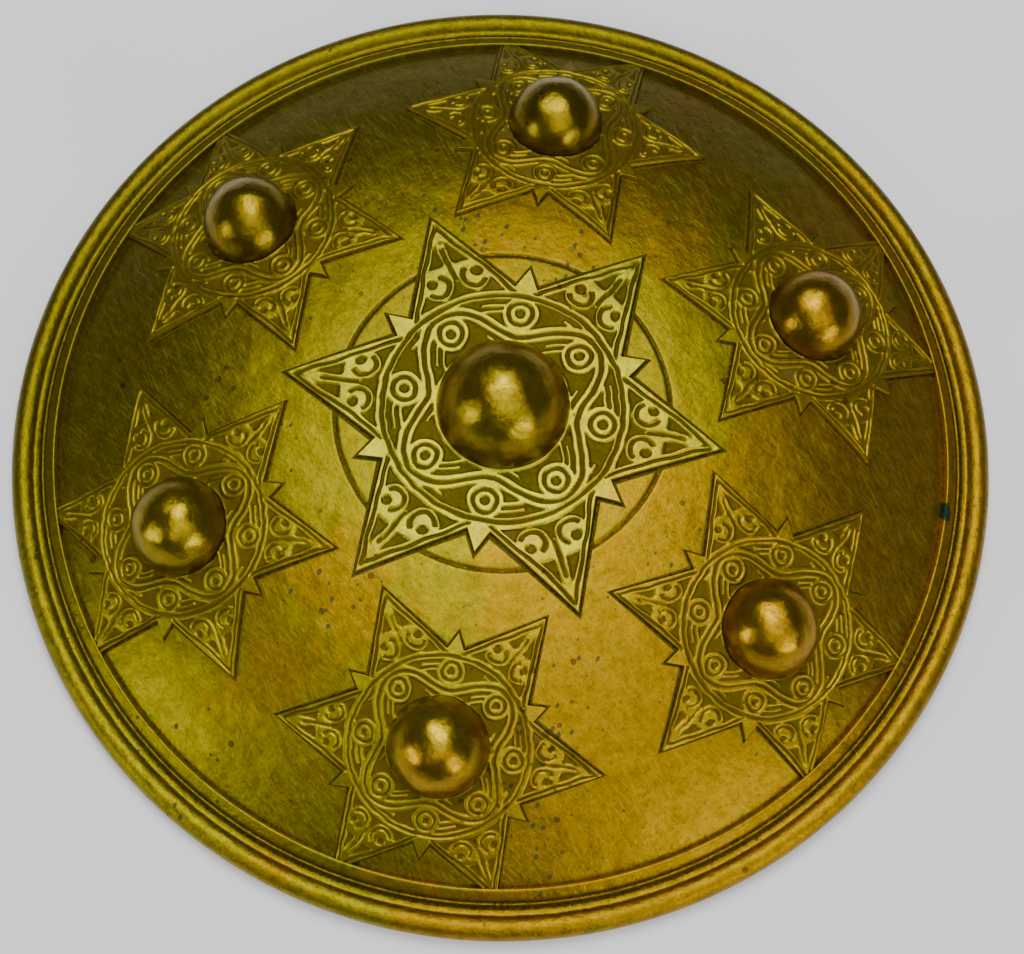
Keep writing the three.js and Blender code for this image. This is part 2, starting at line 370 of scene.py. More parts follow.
# Direction of the far side of the dome, which is darkened with painted shade.
SHADED_FAR_SIDE = (-0.35, 0.94, 0.0)
WARM_SIDE = (1.3, -0.8, 0.0)
PIT_SCALE, PIT_SHARE = 190, 0.75
FLECK_SCALE, FLECK_SHARE, FLECK_STRETCH, FLECK_TURN = 230, 0.7, (1.3, 0.9, 1.3), 20
SPOT_STRETCH, SPOT_PLACE, SPOT_RAGGED = (1.6, 0.8, 0.8), (0.202, -0.0126, 0.0064), 0.0014
STROKES = (((150, 3600, 150), 38), ((3300, 130, 130), -26))
UNEVEN_HEIGHT, GRAIN_HEIGHT, SKIN_HEIGHT, CAST_HEIGHT, PIT_DEPTH = 3.4, 0.12, 0.5, 1.4, 0.5
BUMP_STRENGTH, BUMP_DISTANCE = 0.55, 0.0004
BLOOM_DULLS = 0.3
NOISES = {
    "patches": (22, 4, 0.6), "mottle": (260, 6, 0.8), "speckle": (900, 3, 0.7),
    "porous": (34, 2, 0.5), "flecks": (30, 2, 0.5), "spot": (400, 3, 0.6),
    "chalk": (42, 4, 0.6), "strokes": (1, 3, 0.6), "uneven": (75, 3, 0.5),
    "skin": (800, 5, 0.7), "cast": (480, 4, 0.7),
}
RANGES = {
    "patches": (0.46, 0.60, 0.0, 1.0), "mottle": (0.36, 0.70, 0.0, 0.5),
    "far_shade": (-0.08, 0.09, 0.0, 0.5), "specks": (0.5, 0.75, 0.0, 0.6),
    "chatter": (0.2, 0.8, -0.3, 0.3), "clean": (0.25, 0.85, 0.0, 1.0),
    "shade_and_grime": (0.02, 0.24, 0.85, 0.0), "porous": (0.48, 0.7, 0.0, 0.2),
    "flecks": (0.45, 0.7, 0.0, 0.2), "spot": (0.0028, 0.0036, 1.0, 0.0),
    "chalk": (0.58, 0.68, 0.0, 1.0), "in_recess": (0.0, 0.6, 0.45, 0.0),
    "on_rim": (0.125, 0.129, 0.0, 1.0), "off_rim": (0.0, 1.0, 1.0, 0.15),
    "shine": (1.0, 1.3, 0.0, 0.22), "streaks": (0.7, 1.3, -0.07, 0.09),
    "dull": (0.0, 1.0, 0.3, 0.0),
}


def base_colour(w, given, place):
    """Clean mixed with Warm in patches, then towards Recess by a mottle, and darker on the far side as
    painted shade.
    """
    leaning = w.math("ADD", w.noise(place, "patches"), w.vector("DOT_PRODUCT", place, WARM_SIDE))
    colour = w.mix(w.remap(leaning, "patches"), given["Clean"], given["Warm"])
    colour = w.mix(w.remap(w.noise(place, "mottle"), "mottle"), colour, given["Recess"])
    # Painted shade: the far side of the dome is pulled towards the Recess colour.
    far = w.remap(w.vector("DOT_PRODUCT", place, SHADED_FAR_SIDE), "far_shade")
    return w.mix(far, colour, given["Recess"])


def dirtied_and_shaded(w, given, place, colour):
    """Recess where the tone is low; where it is lowest, painted shade with grime, near black. Both are
    broken up by a speckle.
    """
    speckle = w.noise(place, "speckle")
    specks = w.math("MULTIPLY", w.remap(speckle, "specks"), given["Scratch"])
    colour = w.mix(specks, colour, given["Recess"])
    chatter = w.math("MULTIPLY", w.remap(speckle, "chatter"), given["Scratch"])
    broken = w.math("ADD", given["Tone"], chatter)
    clean = w.remap(broken, "clean")
    colour = w.mix(clean, given["Recess"], colour)
    # Painted shade with grime where the tone is lowest.
    return w.mix(w.remap(broken, "shade_and_grime"), colour, SHADE_AND_GRIME), clean


def pitted(w, place, colour):
    """Small holes round the points of a cell pattern, wider where the casting is porous."""
    porous = w.remap(w.noise(place, "porous"), "porous")
    hole = w.math("LESS_THAN", w.cells(place, PIT_SCALE), porous)
    return w.mix(w.math("MULTIPLY", hole, PIT_SHARE), colour, PIT), hole


def verdigris_bloom(w, place):
    """Green flecks and one stretched spot at the foot of the rim, whichever is stronger."""
    cells = w.cells(w.mapped(place, FLECK_STRETCH, FLECK_TURN), FLECK_SCALE)
    flecks = w.math("LESS_THAN", cells, w.remap(w.noise(place, "flecks"), "flecks"))
    away = w.vector("DISTANCE", w.mapped(place, SPOT_STRETCH, 0), SPOT_PLACE)
    ragged = w.math("ADD", away, w.math("MULTIPLY", w.noise(place, "spot"), SPOT_RAGGED))
    return w.math("MAXIMUM", w.math("MULTIPLY", flecks, FLECK_SHARE), w.remap(ragged, "spot"))


def brushing(w, given, place):
    """Two crossed sets of stretched noise, how much of them shows, and the share of the rim."""
    along, over = (w.noise(w.mapped(place, stretch, turn), "strokes") for stretch, turn in STROKES)
    from_axis = w.vector("LENGTH", w.vector("MULTIPLY", place, (1.0, 1.0, 0.0)))
    on_rim = w.remap(from_axis, "on_rim")
    rubbed = w.math("MULTIPLY", w.remap(on_rim, "off_rim"), given["Scratch"])
    return w.math("ADD", along, over), rubbed, on_rim


def surface_height(w, place, hole, brushed, rubbed, on_rim):
    """Slow unevenness, brush grain, cast skin and the rim's coarser grain, less the pits."""
    uneven = w.math("MULTIPLY", w.noise(place, "uneven"), UNEVEN_HEIGHT)
    grain = w.math("MULTIPLY", w.math("MULTIPLY", brushed, rubbed), GRAIN_HEIGHT)
    skin = w.math("MULTIPLY", w.noise(place, "skin"), SKIN_HEIGHT)
    cast = w.math("MULTIPLY", w.math("MULTIPLY", w.noise(place, "cast"), on_rim), CAST_HEIGHT)
    height = w.math("ADD", w.math("ADD", uneven, grain), w.math("ADD", skin, cast))
    return w.math("SUBTRACT", height, w.math("MULTIPLY", hole, PIT_DEPTH))


def aged_and_shaded_brass_group():
    """Colour, roughness and normal of old brass from the place on the object and the tone, with painted
    shade on the far side and at the lowest tone.
    """
    tree = bpy.data.node_groups.new("aged_and_shaded_brass", "ShaderNodeTree")
    group_sockets(tree)
    w = Wiring(tree)
    given = w.node("NodeGroupInput").outputs
    result = w.node("NodeGroupOutput").inputs
    place = w.node("ShaderNodeTexCoord").outputs["Object"]

    colour, clean = dirtied_and_shaded(w, given, place, base_colour(w, given, place))
    colour, hole = pitted(w, place, colour)
    bloom = verdigris_bloom(w, place)
    colour = w.mix(w.math("MULTIPLY", bloom, given["Scratch"]), colour, VERDIGRIS)
    chalk = w.math("MULTIPLY", w.remap(w.noise(place, "chalk"), "chalk"), w.remap(clean, "in_recess"))
    colour = w.mix(w.math("MULTIPLY", chalk, given["Scratch"]), colour, RESIDUE)

    brushed, rubbed, on_rim = brushing(w, given, place)
    shine = w.math("MULTIPLY", w.remap(brushed, "shine"), rubbed)
    w.link(w.mix(w.math("MULTIPLY", shine, clean), colour, SCRATCH_SHINE), result["Colour"])
    streaks = w.math("MULTIPLY", w.remap(brushed, "streaks"), rubbed)
    rough = w.math("ADD", w.math("ADD", given["Smooth"], streaks), w.remap(clean, "dull"))
    w.link(w.math("ADD", rough, w.math("MULTIPLY", bloom, BLOOM_DULLS)), result["Roughness"])

    bump = w.node("ShaderNodeBump")
    bump.inputs["Strength"].default_value = BUMP_STRENGTH
    bump.inputs["Distance"].default_value = BUMP_DISTANCE
    w.link(surface_height(w, place, hole, brushed, rubbed, on_rim), bump.inputs["Height"])
    w.link(bump.outputs["Normal"], result["Normal"])
    return tree


AGED_AND_SHADED_BRASS = aged_and_shaded_brass_group()


def brass(name, clean, warm, recess, smooth, scratch):
    """A brass with its own clean, warm and recess shades, smoothness and strength of scratches."""
    material = bpy.data.materials.new(name)
    material.use_nodes = True
    w = Wiring(material.node_tree)
    shader = material.node_tree.nodes["Principled BSDF"]
    shader.inputs["Metallic"].default_value = 1.0
    group = w.node("ShaderNodeGroup", node_tree=AGED_AND_SHADED_BRASS)
    for label, shade in (("Clean", clean), ("Warm", warm), ("Recess", recess)):
        group.inputs[label].default_value = (*shade, 1)
    group.inputs["Smooth"].default_value = smooth
    group.inputs["Scratch"].default_value = scratch
    tone = w.node("ShaderNodeAttribute", attribute_name="tone")
    w.link(tone.outputs["Fac"], group.inputs["Tone"])
    w.link(group.outputs["Colour"], shader.inputs["Base Color"])
    w.link(group.outputs["Roughness"], shader.inputs["Roughness"])
    w.link(group.outputs["Normal"], shader.inputs["Normal"])
    return material


BODY_BRASS = brass("body_brass", (0.25, 0.205, 0.002), (0.32, 0.18, 0.001), (0.07, 0.052, 0.001),
                   0.38, 1.0)
WORN_BRASS = brass("worn_relief_brass", (0.43, 0.39, 0.016), (0.42, 0.30, 0.006),
                   (0.11, 0.085, 0.002), 0.36, 0.5)
SOFT_BRASS = brass("soft_relief_brass", (0.29, 0.245, 0.004), (0.34, 0.215, 0.004),
                   (0.135, 0.092, 0.002), 0.36, 0.5)
BOSS_BRASS = brass("boss_brass", (0.33, 0.24, 0.008), (0.34, 0.19, 0.004), (0.07, 0.042, 0.002),
                   0.2, 0.12)
print("brasses", BODY_BRASS.name, WORN_BRASS.name, SOFT_BRASS.name, BOSS_BRASS.name)

# %% [markdown]
# ## Rim and body
# The body could be a screw modifier on a curve. Here its whole section, over the dome, the stepped
# rim, the flat footing and back under the wall, is one closed profile of points, turned round the
# axis as an array. The thin turned circle round the middle star is a small dip in that profile,
# so the rows of points stand closer there.

# %% Section of the body
BEAD_RADIUS = 3.5
BAND_WIDTH = 2.6
BAND_STEP = 1.5
BAND_FALL = 1.8
RIDGE_WIDTH = 1.3
RIDGE_HEIGHT = 0.8
GROOVE_DROP = 1.4
FOOTING_WIDTH = 2.4
BAND_RUN = 1.05
RIDGE_START = RIDGE_WIDTH / 3
RIM_STEP = 0.5
CIRCLE_RADIUS = 46.0
CIRCLE_WIDTH = 1.1
CIRCLE_DEPTH = 0.45
UNDERSIDE_HEIGHT = 1.0
DOME_ROWS = ((0, 44, 12), (44.3, 47.7, 18), (49, FOOT_RADIUS, 30))
BEAD_ARC = (150, -90, 40)
INSIDE_ROWS = 24
BODY_SIDES = 400


def resample(points, step):
    """Points at even steps along a broken line, with the line's own corners softened a little."""
    points = np.asarray(points, float)
    length = np.concatenate([[0], np.cumsum(np.hypot(*np.diff(points, axis=0).T))])
    even = np.linspace(0, length[-1], int(length[-1] / step) + 1)
    line = np.stack([np.interp(even, length, points[:, k]) for k in (0, 1)], -1)
    line[1:-1] = (line[:-2] + 2 * line[1:-1] + line[2:]) / 4
    return line


def outer_section():
    """Dome from the axis to its foot, with the turned circle as a rounded dip."""
    radius = np.concatenate([np.linspace(*run) for run in DOME_ROWS])
    dip = CIRCLE_DEPTH * np.exp(-((radius - CIRCLE_RADIUS) / (CIRCLE_WIDTH / 2)) ** 2)
    return np.stack([radius, dome_height(radius) - dip], -1)


def rim_section():
    """Band, ridge, grooves and bead in broken lines and one arc, evenly resampled."""
    bead_centre = RIM_RADIUS - BEAD_RADIUS
    band_inner = FOOT_RADIUS + BAND_RUN
    band_outer = band_inner + BAND_WIDTH
    band_top = FOOT_HEIGHT + BAND_STEP
    band_edge = band_top - BAND_FALL
    groove = band_edge - GROOVE_DROP
    ridge_inner = band_outer + RIDGE_START
    arc = np.radians(np.linspace(*BEAD_ARC))
    bead = np.stack([bead_centre + BEAD_RADIUS * np.cos(arc), BEAD_RADIUS * (1 + np.sin(arc))], -1)
    corners = [(FOOT_RADIUS, FOOT_HEIGHT), (band_inner, band_top), (band_outer, band_edge),
               (ridge_inner, groove), (ridge_inner + RIDGE_WIDTH / 2, groove + RIDGE_HEIGHT),
               (ridge_inner + RIDGE_WIDTH, groove - RIDGE_HEIGHT)]
    footing = [(bead_centre - FOOTING_WIDTH, 0), (bead_centre - BEAD_RADIUS, BEAD_RADIUS / 2)]
    return resample(np.concatenate([corners, bead, footing]), RIM_STEP)[1:]


def inner_section():
    """The dome's curve again, one wall underneath, from the foot in to the axis."""
    radius = np.linspace(FOOT_RADIUS, 0, INSIDE_ROWS)
    normal = dome_normal(radius, np.zeros_like(radius))
    return np.stack([np.maximum(radius - WALL * normal[:, 0], 0),
                     dome_height(radius) - WALL * normal[:, 2]], -1)


def rim_groove_shade(radius, height):
    """One less the darkest line of painted shade: foot, both grooves of the rim, and the turned circle.
    """
    groove_one = FOOT_RADIUS + BAND_RUN + BAND_WIDTH + RIDGE_START
    groove_two = groove_one + RIDGE_WIDTH
    lines = ((FOOT_RADIUS, 0.6, 0.4), (groove_one, 0.45, 0.65), (groove_two + 0.2, 0.7, 0.8),
             (CIRCLE_RADIUS, 0.45, 0.6))
    shades = [depth * np.exp(-((radius - middle) / width) ** 2) for middle, width, depth in lines]
    return np.where(height > UNDERSIDE_HEIGHT, 1 - np.max(shades, axis=0), 1.0)


# %% [markdown]
# ## Stars on the dome
# The stars share one pattern, drawn at the size of the middle star. A star is a grid round its own
# centre: first the ring with eyes and vine, then the points, whose outer edge is a formula for a
# straight line in polar form, so the edges stay crisp however coarse the grid is.

# %% Sizes of the stars
PATTERN_TIP = 60.5
CENTRE_STAR = {"tip": 60.5, "boss": 18.4, "rise": 19.4}
OUTER_STAR = {"tip": 44.0, "boss": 13.9, "rise": 14.6}
OUTER_STAR_DISTANCE = 93.0
OUTER_STAR_BEARINGS = (22, 83, 143, 202, 262, 323)
STAR_TURN = 52.0
PLATE_HEIGHT = 1.3
PLATE_ROOT = 0.9
RELIEF_DEPTH = 0.7
NOTCH = 0.59
NOTCH_BEARING = 25.0
TOOTH = 0.69
POINTS = 6
POINT_PITCH = 360.0 / POINTS
LONG_SHARE, SHORT_SHARE, SHORT_LEAST = 0.4, 0.1, 5
EYE_PITCH = 45.0


def star_seats():
    """The middle star and the six round it, each with its seat on the dome."""
    seats = [("centre", seat_at(0.0, 0.0), CENTRE_STAR)]
    for number, bearing in enumerate(OUTER_STAR_BEARINGS, 1):
        seats.append((f"outer_{number}", seat_at(OUTER_STAR_DISTANCE, bearing), OUTER_STAR))
    return seats


def polar_edge(angle, start, end):
    """Radius of the straight line between two polar points, at angles between them."""
    (ra, a), (rb, b) = start, end
    a, b = math.radians(a), math.radians(b)
    return ra * rb * math.sin(b - a) / (ra * np.sin(angle - a) + rb * np.sin(b - angle))


def outline_radius(bearing):
    """Edge of a star of tip radius one at bearings measured from a tip: point, notch, tooth."""
    within = np.abs((bearing + POINT_PITCH / 2) % POINT_PITCH - POINT_PITCH / 2)
    angle = np.radians(within)
    side = polar_edge(angle, (1.0, 0.0), (NOTCH, NOTCH_BEARING))
    tooth = polar_edge(angle, (NOTCH, NOTCH_BEARING), (TOOTH, POINT_PITCH / 2))
    return np.where(within < NOTCH_BEARING, side, tooth)


def sector_bearings(count):
    """Bearings round a star, denser at the teeth, that fall exactly on tips, notches and teeth."""
    long = int(count / POINTS * LONG_SHARE)
    short = max(SHORT_LEAST, int(count / POINTS * SHORT_SHARE))
    tooth_end = POINT_PITCH - NOTCH_BEARING
    sector = np.concatenate([
        np.linspace(0, NOTCH_BEARING, long, endpoint=False),
        np.linspace(NOTCH_BEARING, POINT_PITCH / 2, short, endpoint=False),
        np.linspace(POINT_PITCH / 2, tooth_end, short, endpoint=False),
        np.linspace(tooth_end, POINT_PITCH, long, endpoint=False)])
    return np.concatenate([sector + POINT_PITCH * k for k in range(POINTS)])


# %% [markdown]
# ### The carved pattern
# The pattern is flat bright metal with dark cuts in it: narrow grooves, and small sunk panels where
# nothing is drawn. So each shape is a cut, with a soft edge, and the tone is what the deepest cut
# leaves. The panels are found from a distance field: a point lies in a panel as far as it is from
# the vine, the eyes and both rings, and lines beside the vine or the ring leave curved leaves in it.
# Distances are in millimetres on the middle star.

# %% Cuts, eyes, vine and leaves
SOFT = 0.3


def band(distance, half_width):
    """One inside the band, zero outside, smooth over the soft edge."""
    share = np.clip((half_width - distance) / SOFT + 0.5, 0, 1)
    return share * share * (3 - 2 * share)


def capsule(x, y, start, end, half_width):
    """Band round the straight piece between two points."""
    ax, ay = start
    dx, dy = end[0] - ax, end[1] - ay
    share = np.clip(((x - ax) * dx + (y - ay) * dy) / (dx * dx + dy * dy), 0, 1)
    return band(np.hypot(x - ax - share * dx, y - ay - share * dy), half_width)


RING_GROOVE = (32.95, 0.45)
RING_INSIDE = 31.7
COLLAR_RADIUS = 19.0
VINE_RADIUS = 25.8
VINE_SWING = 5.2
VINE_GROOVE = 0.45
VINE_HALF_WIDTH = 2.0
EYE_PLACES = ((27.5, 0.0), (25.5, EYE_PITCH))
EYE_CORE = 1.25
EYE_GROOVE = (3.3, 0.42)
EYE_RADIUS = 5.2
EYE_MARGIN = 0.5
LEAF_LINES = ((1.7, 0.55), (3.7, 0.6))


def ring_pattern(radius, bearing):
    """One less the largest cut: ring groove, vine groove, eyes, and the panels with their leaves."""
    quarter = np.radians(bearing * 4)
    vine = VINE_RADIUS - VINE_SWING * np.cos(quarter)
    lean = 4 * VINE_SWING * np.sin(quarter) / VINE_RADIUS
    off = np.abs(radius - vine) / np.sqrt(1 + lean ** 2)
    open_ground = np.minimum.reduce([off - VINE_HALF_WIDTH, RING_INSIDE - radius, radius - COLLAR_RADIUS])
    cuts = band(off, VINE_GROOVE)
    for away, first in EYE_PLACES:
        near = (bearing - first + EYE_PITCH) % (2 * EYE_PITCH) - EYE_PITCH
        x = radius * np.cos(np.radians(near)) - away
        y = radius * np.sin(np.radians(near))
        spread = np.hypot(x, y)
        open_ground = np.minimum(open_ground, spread - EYE_RADIUS)
        eye = np.maximum(band(spread, EYE_CORE), band(np.abs(spread - EYE_GROOVE[0]), EYE_GROOVE[1]))
        cuts = np.where(spread < EYE_RADIUS - EYE_MARGIN, eye, cuts)
    leafy = np.sin(2 * quarter) > 0
    beside = np.where(radius > vine, RING_INSIDE - radius, off - VINE_HALF_WIDTH)
    leaf = np.maximum.reduce([band(np.abs(beside - away), half) for away, half in LEAF_LINES]) * leafy
    panel = band(-open_ground, 0) * (1 - leaf)
    return 1 - np.maximum.reduce([cuts, panel, band(np.abs(radius - RING_GROOVE[0]), RING_GROOVE[1])])


# %% [markdown]
# ### The points
# Each point has a groove that follows its sides, two scrolls that open outwards, small three-sided
# panels at its base and beside its tip, and a groove up its middle. A pattern that mirrors about
# the point's own axis needs only one half drawn, so the sideways distance is made positive first.

# %% Grooves, scrolls and panels of a point
SIDE_LEAN = math.atan2(PATTERN_TIP * NOTCH * math.sin(math.radians(NOTCH_BEARING)),
                       PATTERN_TIP - PATTERN_TIP * NOTCH * math.cos(math.radians(NOTCH_BEARING)))
SIDE_GROOVE = (1.25, 0.4)
SIDE_BORDER = 2.55
BASE_RADIUS = 34.9
SCROLL_PLACE = (39.4, 5.3)
SCROLL_GROOVE = (3.2, 0.45)
SCROLL_OPENING = (-28, 122)
SCROLL_CORE = (1.2, 1.0, 1.3)
SCROLL_RADIUS = 4.6
STEM = ((40.0, 0.0), (50.4, 0.0), 0.42)
TIP_PANEL = (45.2, 1.6)
SIDE_MARGIN = 0.05


def point_pattern(radius, bearing):
    """One less the largest cut: side groove, scroll groove and core, stem, base and tip panels."""
    near = (bearing + POINT_PITCH / 2) % POINT_PITCH - POINT_PITCH / 2
    x = radius * np.cos(np.radians(near))
    y = np.abs(radius * np.sin(np.radians(near)))
    inside = (PATTERN_TIP - x) * math.sin(SIDE_LEAN) - y * math.cos(SIDE_LEAN)
    sx, sy = x - SCROLL_PLACE[0], y - SCROLL_PLACE[1]
    spread, turn = np.hypot(sx, sy), np.degrees(np.arctan2(sy, sx))
    closed = (turn < SCROLL_OPENING[0]) | (turn > SCROLL_OPENING[1])
    scroll = band(np.abs(spread - SCROLL_GROOVE[0]), SCROLL_GROOVE[1]) * closed
    core = band(np.hypot(sx - SCROLL_CORE[0], sy - SCROLL_CORE[1]), SCROLL_CORE[2])
    within = inside - SIDE_BORDER
    base = np.minimum.reduce([radius - BASE_RADIUS, within, spread - SCROLL_RADIUS, SCROLL_PLACE[0] - x])
    tip = np.minimum.reduce([x - TIP_PANEL[0], y - TIP_PANEL[1], within])
    cuts = np.maximum.reduce([band(np.abs(inside - SIDE_GROOVE[0]), SIDE_GROOVE[1]), scroll, core,
                              capsule(x, y, *STEM), band(-base, 0), band(-tip, 0)])
    return np.where(inside < SIDE_MARGIN, 1.0, 1 - cuts)


def hand_wobble(radius, bearing):
    """Two slow waves added to the radius and two to the bearing, as an unsteady hand cuts."""
    angle = np.radians(bearing)
    x, y = radius * np.cos(angle), radius * np.sin(angle)
    slow = 0.22 * np.sin(0.31 * x + 0.4) * np.cos(0.27 * y)
    moved = radius + slow + 0.1 * np.sin(0.9 * y + 0.7 * x)
    turned = bearing + 0.5 * np.sin(0.23 * y + 1.1) + 0.25 * np.sin(0.71 * x)
    return moved, turned


# %% [markdown]
# ### Laying a star
# The rows run from under the boss out to the edge, down the edge's wall, and a little way on along
# the dome as a thin dark line: painted shade where the plate meets the body, with the dirt that
# gathers there. The wall darkens towards its foot, also painted shade. Each of the edge rows is
# given by its way out, its lift and its tone.

# %% Build a star
RING_OUT = 35.0
PATTERN_SPLIT = 34.2
RING_TURN = 82.0
BOSS_COVER = 0.93
EDGE_MARGIN = 0.3
RECESS_TONE = 0.28
CENTRE_GRID = (780, 58, 56)
OUTER_GRID = (516, 42, 39)
# Edge rows: the wall darkens to tone 0 at its foot, then fades out over the dome, painted shade where the
# plate meets the body, with some dirt.
EDGE_ROWS = ((-0.16, 1.30, 1.0), (0.0, 1.16, 0.95), (0.22, 0.05, 0.0), (0.9, 0.035, 0.1),
             (1.9, 0.02, 0.3), (2.8, -0.4, 0.5))


def build_star(name, seat, star, around, ring_rows, point_rows, material):
    """Rows of radius, lift and tone round the star, laid on the dome and joined into one grid."""
    bearing = sector_bearings(around)
    scale = star["tip"] / PATTERN_TIP
    edge = outline_radius(bearing) * star["tip"]
    ring_out = RING_OUT * scale
    inner = np.linspace(star["boss"] * BOSS_COVER, ring_out, ring_rows)[:, None] * np.ones_like(edge)
    share = np.linspace(0, 1, point_rows + 1)[1:-1, None]
    outer = ring_out + (edge - EDGE_MARGIN - ring_out) * share
    radius = np.concatenate([inner, outer])
    wide = np.broadcast_to(bearing, radius.shape)
    moved, turned = hand_wobble(radius / scale, wide)
    in_ring = ring_pattern(moved, turned + STAR_TURN - RING_TURN)
    tone = np.where(moved < PATTERN_SPLIT, in_ring, point_pattern(moved, turned))
    lift = PLATE_HEIGHT - RELIEF_DEPTH * scale * (1 - tone)
    edge_radius = np.stack([edge + out * scale for out, _, _ in EDGE_ROWS])
    edge_lift = np.stack([np.full_like(edge, up) for _, up, _ in EDGE_ROWS])
    # The edge tones paint shade round the plate's foot.
    edge_tone = np.stack([np.full_like(edge, shade) for _, _, shade in EDGE_ROWS])
    radius = np.concatenate([radius, edge_radius])
    lift = np.concatenate([lift, edge_lift])
    tone = np.concatenate([RECESS_TONE + (1 - RECESS_TONE) * tone, edge_tone])
    points = on_dome(seat, radius, np.broadcast_to(bearing + STAR_TURN, radius.shape), lift)
    faces = grid_faces(*radius.shape).tolist()
    piece = make_piece(f"star_{name}", points, faces, tone, material)
    print(piece.name, "triangles", triangles(piece))
    return piece


# %% [markdown]
# ### Bosses
# A boss is a hollow half egg. Its section goes up the outside and back down the inside, one wall
# apart, and is turned about the seat's normal. Slow waves sink shallow dents into it, and its foot
# is darkened with painted shade where it meets the plate.

# %% Build a boss
BOSS_SIDES = 96
OUTER_ROWS, INNER_ROWS, CUTTER_ROWS = 32, 12, 16
HOLLOW_ROOT = 2.9
DENT_DEPTH = 0.22
DENT_SHIFT = 9
# Heights over which the painted shade at the boss's foot fades out.
FOOT_SHADE_FROM, FOOT_SHADE_TO = 0.9, 2.9
INSIDE_TONE = 0.8


def egg_section(radius, rise, root, count):
    """Quarter of an ellipse from the root up to the pole."""
    angle = np.linspace(0, np.pi / 2, count)
    profile = np.stack([radius * np.cos(angle), rise * np.sin(angle)], -1)
    return np.concatenate([[(radius, -root)], profile])


def dents(x, y, z):
    """Shallow hollows from three slow waves, never standing proud."""
    return -DENT_DEPTH * (1 + np.sin(0.52 * x + 1.3) * np.sin(0.61 * y + 0.4) * np.cos(0.47 * z)) / 2


def turned_shell(section, sides):
    """Turn a section that starts and ends on the axis; its two ends become single points."""
    angle = np.linspace(0, 2 * np.pi, sides, endpoint=False)
    rows = len(section) - 2
    points = np.empty((rows, sides, 3))
    points[..., 0] = section[1:-1, :1] * np.cos(angle)
    points[..., 1] = section[1:-1, :1] * np.sin(angle)
    points[..., 2] = section[1:-1, 1:]
    ends = [(0, 0, section[0, 1]), (0, 0, section[-1, 1])]
    side = np.arange(sides)
    after = (side + 1) % sides
    last = (rows - 1) * sides
    first_fan = np.stack([np.full(sides, rows * sides), side, after], -1)
    last_fan = np.stack([np.full(sides, rows * sides + 1), last + after, last + side], -1)
    faces = grid_faces(rows, sides).tolist() + first_fan.tolist() + last_fan.tolist()
    return np.concatenate([points.reshape(-1, 3), ends]), faces


def build_boss(name, seat, star, number):
    """Down the outer half egg, up the inner one, turned and set on the seat."""
    outer = egg_section(star["boss"], star["rise"], PLATE_ROOT, OUTER_ROWS)[::-1]
    inner = egg_section(star["boss"] - WALL, star["rise"] - WALL, HOLLOW_ROOT, INNER_ROWS)
    section = np.concatenate([outer, inner])
    section[[0, -1], 0] = 0
    local, faces = turned_shell(section, BOSS_SIDES)
    x, y, z = local.T
    depth = np.hypot(np.hypot(x, y) / star["boss"], np.maximum(z, 0) / star["rise"])
    is_outer = depth > 1 - WALL / star["boss"] / 2
    sink = np.where(is_outer, dents(x + DENT_SHIFT * number, y, z), 0) / star["boss"]
    axes = np.stack([seat["outward"], seat["across"], seat["normal"]])
    points = seat["origin"] + (local * (1 + sink)[:, None]) @ axes
    # Painted shade: the outer face is darkest at its foot, where it meets the plate.
    tone = np.where(is_outer, np.clip((z - FOOT_SHADE_FROM) / (FOOT_SHADE_TO - FOOT_SHADE_FROM), 0, 1), INSIDE_TONE)
    return make_piece(f"boss_{name}", points, faces, tone, BOSS_BRASS)


# %% [markdown]
# ### Cutting the hollows
# The backs of the bosses are open, so the body needs seven holes. A boolean with closed half eggs
# cuts them cleanly, and the cutters are then thrown away.

# %% Build the body
CUTTER_SIDES = 72
CUTTER_EXTRA = 0.04
CUTTER_ROOT = 3 * WALL
BODY_SHARP_DEG = 50


def turned_body():
    """The closed section of the casting turned round its axis."""
    section = np.concatenate([outer_section(), rim_section(), inner_section()])
    return turned_shell(section, BODY_SIDES)


def hollow_cutter(seat, star):
    """A closed half egg the size of the boss's hollow, run down through the wall."""
    radius = star["boss"] - WALL + CUTTER_EXTRA
    section = egg_section(radius, star["rise"] - WALL, CUTTER_ROOT, CUTTER_ROWS)[::-1]
    section = np.concatenate([section, [(0, -CUTTER_ROOT)]])
    section[0, 0] = 0
    local, faces = turned_shell(section, CUTTER_SIDES)
    return seat["origin"] + local @ np.stack([seat["outward"], seat["across"], seat["normal"]]), faces


def plain_object(name, points, faces):
    """A mesh object straight from points in millimetres and faces."""
    mesh = bpy.data.meshes.new(name)
    mesh.from_pydata((points * MM).tolist(), [], faces)
    thing = bpy.data.objects.new(name, mesh)
    bpy.context.scene.collection.objects.link(thing)
    return thing


def cut_body():
    """The turned body less its seven hollows, as one mesh."""
    body = plain_object("shield_body", *turned_body())
    cutters = []
    for name, seat, star in star_seats():
        cutter = plain_object(f"cutter_{name}", *hollow_cutter(seat, star))
        cutters.append(cutter)
        cut = body.modifiers.new(name, "BOOLEAN")
        cut.operation = "DIFFERENCE"
        cut.solver = "MANIFOLD"
        cut.object = cutter
    bpy.context.view_layer.update()
    evaluated = body.evaluated_get(bpy.context.evaluated_depsgraph_get())
    mesh = bpy.data.meshes.new_from_object(evaluated)
    body.modifiers.clear()
    body.data = mesh
    for cutter in cutters:
        bpy.data.objects.remove(cutter)
    return body


